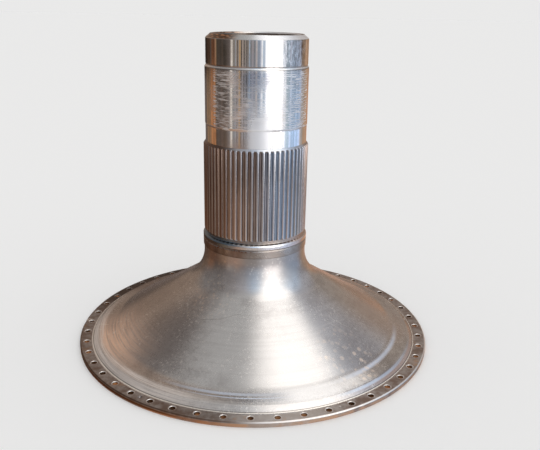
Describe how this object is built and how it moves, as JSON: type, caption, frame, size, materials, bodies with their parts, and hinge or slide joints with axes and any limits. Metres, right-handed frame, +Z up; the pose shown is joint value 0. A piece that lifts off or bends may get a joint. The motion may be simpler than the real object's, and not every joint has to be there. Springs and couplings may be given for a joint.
{
  "type": "splined stub shaft with bolted trumpet flange",
  "caption": "Hollow stub shaft that flares into a trumpet with a thin bolted flange; a spline, a sealing collar and turned journals on the shaft.",
  "frame": {"origin": "centre of the shaft's axis in the plane of the flange's underside", "axes": "+Z up along the shaft's axis, from the flange to the upper journal; -Y towards one bolt hole of the flange"},
  "size_m": [0.454, 0.454, 0.384],
  "materials": {
    "turned_steel": "turned and ground bare steel, worn, with a dull brown oxide on the flange"
  },
  "bodies": {
    "root": {"stub_shaft": "turned_steel"}
  },
  "joints": []
}
